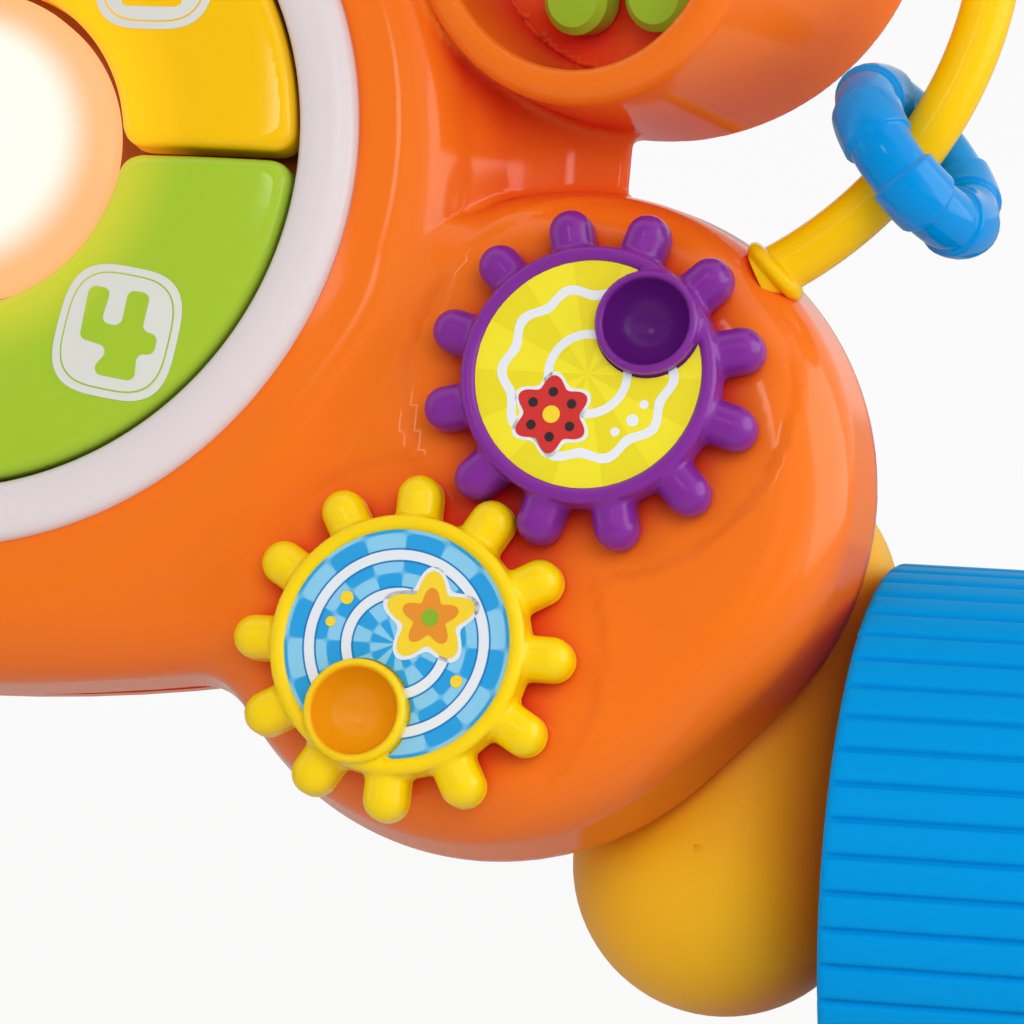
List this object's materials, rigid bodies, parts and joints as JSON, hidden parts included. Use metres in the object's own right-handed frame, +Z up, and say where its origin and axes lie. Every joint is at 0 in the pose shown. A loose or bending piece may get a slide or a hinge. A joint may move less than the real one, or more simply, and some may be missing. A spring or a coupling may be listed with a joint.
{
  "type": "baby push walker",
  "caption": "Four-wheeled push walker for a toddler with a leaning toy panel of light-up keys, meshing gears, arches with sliding rings, spinner, mirror, roller and push handle.",
  "frame": {"origin": "floor level under the middle of the outline, half way between the axles and half way between the wheels", "axes": "+Z up, -Y is the front where the toy panel faces, +X is the right side of a person facing the panel"},
  "size_m": [0.4572, 0.377, 0.4765],
  "materials": {
    "orange_shell": "glossy moulded plastic",
    "steel": "bright steel",
    "white_plastic": "glossy moulded plastic",
    "glow_dome": "translucent plastic lit from behind",
    "board_green": "solder mask",
    "dark_plastic": "satin moulded plastic",
    "purple_plastic": "glossy moulded plastic",
    "yellow_plastic": "glossy moulded plastic",
    "blue_plastic": "glossy moulded plastic",
    "green_plastic": "glossy moulded plastic",
    "yellow_label": "printed label",
    "blue_label": "printed label",
    "mirror": "mirrored plastic",
    "grip_rubber": "soft grip",
    "cell_grey": "wrapped cell",
    "red_plastic": "glossy moulded plastic"
  },
  "bodies": {
    "frame": {"front_shell": "orange_shell", "back_shell": "orange_shell", "shell_screws": "steel", "dial_bezel": "white_plastic", "light_dome": "glow_dome", "led_board": "board_green", "key_bed": "dark_plastic", "key_springs": "steel", "arch_right": "yellow_plastic", "arch_left": "yellow_plastic", "mirror_rim": "white_plastic", "mirror": "mirror", "roller_axle": "steel", "roller_tray": "dark_plastic", "side_frame_right": "yellow_plastic", "side_frame_left": "yellow_plastic", "leg_screw_right": "steel", "leg_screw_left": "steel", "cross_brace": "yellow_plastic", "axle_front_right": "steel", "axle_front_left": "steel", "axle_rear_right": "steel", "axle_rear_left": "steel", "handle_frame": "yellow_plastic", "handle_grip": "grip_rubber", "handle_socket_right": "yellow_plastic", "handle_socket_left": "yellow_plastic", "circuit_board": "board_green", "speaker": "dark_plastic", "battery_tray": "dark_plastic", "battery_cells": "cell_grey", "battery_door": "orange_shell", "battery_door_screw": "steel"},
    "key_1": {"key_1": "purple_plastic"},
    "key_2": {"key_2": "yellow_plastic"},
    "key_3": {"key_3": "blue_plastic"},
    "key_4": {"key_4": "green_plastic"},
    "gear_upper": {"gear_upper": "purple_plastic", "gear_upper_label": "yellow_label", "gear_upper_screw": "steel"},
    "gear_lower": {"gear_lower": "yellow_plastic", "gear_lower_label": "blue_label", "gear_lower_screw": "steel"},
    "ring_right": {"ring_right": "blue_plastic"},
    "ring_left": {"ring_left": "green_plastic"},
    "spinner": {"spinner": "green_plastic", "spinner_screw": "steel"},
    "roller": {"roller": "purple_plastic"},
    "wheel_front_right": {"wheel_front_right": "blue_plastic", "cap_front_right": "yellow_plastic"},
    "wheel_front_left": {"wheel_front_left": "blue_plastic", "cap_front_left": "yellow_plastic"},
    "wheel_rear_right": {"wheel_rear_right": "blue_plastic", "cap_rear_right": "yellow_plastic"},
    "wheel_rear_left": {"wheel_rear_left": "blue_plastic", "cap_rear_left": "yellow_plastic"},
    "power_switch": {"power_switch": "red_plastic"}
  },
  "joints": [
    {"name": "key_1_press", "type": "slide", "parent": "frame", "child": "key_1", "axis": [0, 0.9272, -0.3746], "range_m": [0, 0.0025], "stiffness_N_per_m": 200, "springref_m": -0.003},
    {"name": "key_2_press", "type": "slide", "parent": "frame", "child": "key_2", "axis": [0, 0.9272, -0.3746], "range_m": [0, 0.0025], "stiffness_N_per_m": 200, "springref_m": -0.003},
    {"name": "key_3_press", "type": "slide", "parent": "frame", "child": "key_3", "axis": [0, 0.9272, -0.3746], "range_m": [0, 0.0025], "stiffness_N_per_m": 200, "springref_m": -0.003},
    {"name": "key_4_press", "type": "slide", "parent": "frame", "child": "key_4", "axis": [0, 0.9272, -0.3746], "range_m": [0, 0.0025], "stiffness_N_per_m": 200, "springref_m": -0.003},
    {"name": "gear_upper_spin", "type": "hinge", "parent": "frame", "child": "gear_upper", "pos_m": [0.1326, -0.15213, 0.1665], "axis": [0, -0.9272, 0.3746], "continuous": true},
    {"name": "gear_lower_spin", "type": "hinge", "parent": "frame", "child": "gear_lower", "pos_m": [0.09995, -0.17249, 0.11611], "axis": [0, -0.9272, 0.3746], "continuous": true},
    {"name": "ring_right_slide", "type": "hinge", "parent": "frame", "child": "ring_right", "pos_m": [0.123, -0.10424, 0.24767], "axis": [0, -0.9272, 0.3746], "range_deg": [-15, 170]},
    {"name": "ring_left_slide", "type": "hinge", "parent": "frame", "child": "ring_left", "pos_m": [-0.123, -0.10424, 0.24767], "axis": [0, 0.9272, -0.3746], "range_deg": [-15, 170]},
    {"name": "spinner_spin", "type": "hinge", "parent": "frame", "child": "spinner", "pos_m": [0.1346, -0.08738, 0.24668], "axis": [-0.2562, -0.954, 0.1557], "continuous": true},
    {"name": "roller_spin", "type": "hinge", "parent": "frame", "child": "roller", "pos_m": [-0.118, -0.15158, 0.13985], "axis": [-0.682, 0.274, 0.6781], "continuous": true},
    {"name": "wheel_front_right_roll", "type": "hinge", "parent": "frame", "child": "wheel_front_right", "pos_m": [0.2056, -0.125, 0.063], "axis": [1, 0, 0], "continuous": true},
    {"name": "wheel_front_left_roll", "type": "hinge", "parent": "frame", "child": "wheel_front_left", "pos_m": [-0.2056, -0.125, 0.063], "axis": [1, 0, 0], "continuous": true},
    {"name": "wheel_rear_right_roll", "type": "hinge", "parent": "frame", "child": "wheel_rear_right", "pos_m": [0.2056, 0.125, 0.063], "axis": [1, 0, 0], "continuous": true},
    {"name": "wheel_rear_left_roll", "type": "hinge", "parent": "frame", "child": "wheel_rear_left", "pos_m": [-0.2056, 0.125, 0.063], "axis": [1, 0, 0], "continuous": true},
    {"name": "power_switch_slide", "type": "slide", "parent": "frame", "child": "power_switch", "axis": [1, 0, 0], "range_m": [-0.003, 0.003]}
  ],
  "couplings": [
    {"joint": "gear_lower_spin", "follows": "gear_upper_spin", "ratio": -1}
  ]
}
